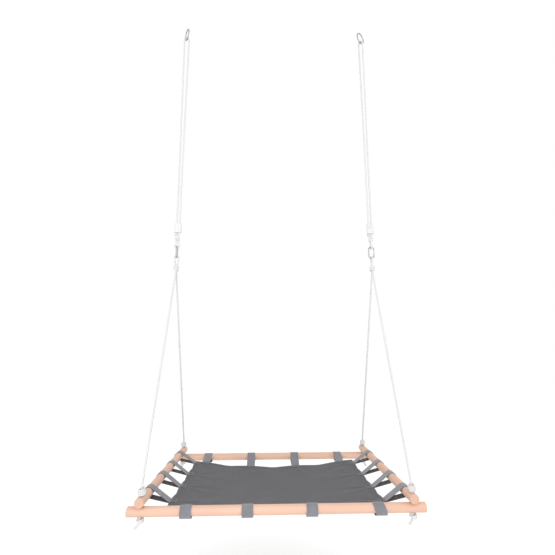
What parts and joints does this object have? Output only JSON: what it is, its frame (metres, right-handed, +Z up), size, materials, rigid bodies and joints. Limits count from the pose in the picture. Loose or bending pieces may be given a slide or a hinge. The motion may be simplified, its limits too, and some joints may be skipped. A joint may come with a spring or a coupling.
{
  "type": "platform swing",
  "caption": "Rectangular platform swing: a canvas seat laced with webbing loops into round wooden rails, hung from steel rings by adjustable ropes and snap hooks.",
  "frame": {"origin": "midway between the two hang points, where the tops of the rings rest on their support hooks", "axes": "+Z up, +X to the right along the front rail, front of the seat towards -Y"},
  "size_m": [1, 0.73, 2.2325],
  "materials": {
    "beech": "sanded, clear matt oil",
    "canvas": "plain-woven cotton canvas, dyed dark grey",
    "webbing": "folded and stitched canvas tape, dark grey",
    "rope": "white braided rope",
    "adjuster_plastic": "moulded white plastic, smooth",
    "ring_steel": "zinc-plated welded ring",
    "hook_steel": "zinc-plated bent wire",
    "rivet_steel": "plain steel"
  },
  "bodies": {
    "rings": {"ring_left": "ring_steel", "ring_right": "ring_steel"},
    "upper_ropes": {"upper_rope_left": "rope", "upper_rope_right": "rope", "stopper_knot_left": "rope", "stopper_knot_right": "rope", "eye_knot_left": "rope", "eye_knot_right": "rope", "upper_eye_left": "rope", "upper_eye_right": "rope"},
    "adjuster_left": {"adjuster_left": "adjuster_plastic"},
    "adjuster_right": {"adjuster_right": "adjuster_plastic"},
    "snap_hooks": {"hook_body_left": "hook_steel", "hook_body_right": "hook_steel", "hook_rivet_left": "rivet_steel", "hook_rivet_right": "rivet_steel"},
    "gate_left": {"gate_left": "hook_steel", "gate_spring_left": "rivet_steel"},
    "gate_right": {"gate_right": "hook_steel", "gate_spring_right": "rivet_steel"},
    "v_ropes_left": {"lower_eye_left": "rope", "join_knot_left": "rope", "v_rope_front_left": "rope", "v_rope_rear_left": "rope"},
    "v_ropes_right": {"lower_eye_right": "rope", "join_knot_right": "rope", "v_rope_front_right": "rope", "v_rope_rear_right": "rope"},
    "platform": {"corner_knot_front_left": "rope", "corner_knot_rear_left": "rope", "corner_knot_front_right": "rope", "corner_knot_rear_right": "rope", "rope_tail_front_left": "rope", "rope_tail_rear_left": "rope", "rope_tail_front_right": "rope", "rope_tail_rear_right": "rope", "rail_front": "beech", "rail_rear": "beech", "rail_left": "beech", "rail_right": "beech", "seat_canvas": "canvas", "strap_front_1": "webbing", "strap_front_2": "webbing", "strap_front_3": "webbing", "strap_front_4": "webbing", "strap_rear_1": "webbing", "strap_rear_2": "webbing", "strap_rear_3": "webbing", "strap_rear_4": "webbing", "strap_left_1": "webbing", "strap_left_2": "webbing", "strap_left_3": "webbing", "strap_left_4": "webbing", "strap_right_1": "webbing", "strap_right_2": "webbing", "strap_right_3": "webbing", "strap_right_4": "webbing"}
  },
  "joints": [
    {"name": "swing", "type": "hinge", "parent": "rings", "child": "upper_ropes", "pos_m": [0, 0, -0.0471], "axis": [1, 0, 0], "range_deg": [-25, 25]},
    {"name": "hook_tilt", "type": "hinge", "parent": "upper_ropes", "child": "snap_hooks", "pos_m": [0, 0, -1.1726], "axis": [1, 0, 0], "range_deg": [-15, 15]},
    {"name": "sway_left", "type": "hinge", "parent": "snap_hooks", "child": "v_ropes_left", "pos_m": [-0.456, 0, -1.219], "axis": [0, 1, 0], "range_deg": [-12, 12]},
    {"name": "sway_right", "type": "hinge", "parent": "snap_hooks", "child": "v_ropes_right", "pos_m": [0.456, 0, -1.219], "axis": [0, 1, 0], "range_deg": [-12, 12]},
    {"name": "seat_level", "type": "hinge", "parent": "v_ropes_left", "child": "platform", "pos_m": [-0.456, 0, -2.0966], "axis": [0, 1, 0], "range_deg": [-12, 12]},
    {"name": "adjuster_left_slide", "type": "slide", "parent": "upper_ropes", "child": "adjuster_left", "axis": [0, 0, 1], "range_m": [0, 0.2]},
    {"name": "adjuster_right_slide", "type": "slide", "parent": "upper_ropes", "child": "adjuster_right", "axis": [0, 0, 1], "range_m": [0, 0.2]},
    {"name": "gate_left_hinge", "type": "hinge", "parent": "snap_hooks", "child": "gate_left", "pos_m": [-0.456, 0.012, -1.2063], "axis": [1, 0, 0], "range_deg": [0, 25], "stiffness_Nm_per_rad": 0.05, "springref_deg": -17.19},
    {"name": "gate_right_hinge", "type": "hinge", "parent": "snap_hooks", "child": "gate_right", "pos_m": [0.468, 0, -1.2063], "axis": [0, -1, 0], "range_deg": [0, 25], "stiffness_Nm_per_rad": 0.05, "springref_deg": -17.19}
  ],
  "couplings": [
    {"joint": "sway_right", "follows": "sway_left", "ratio": 1},
    {"joint": "seat_level", "follows": "sway_left", "ratio": -1}
  ]
}
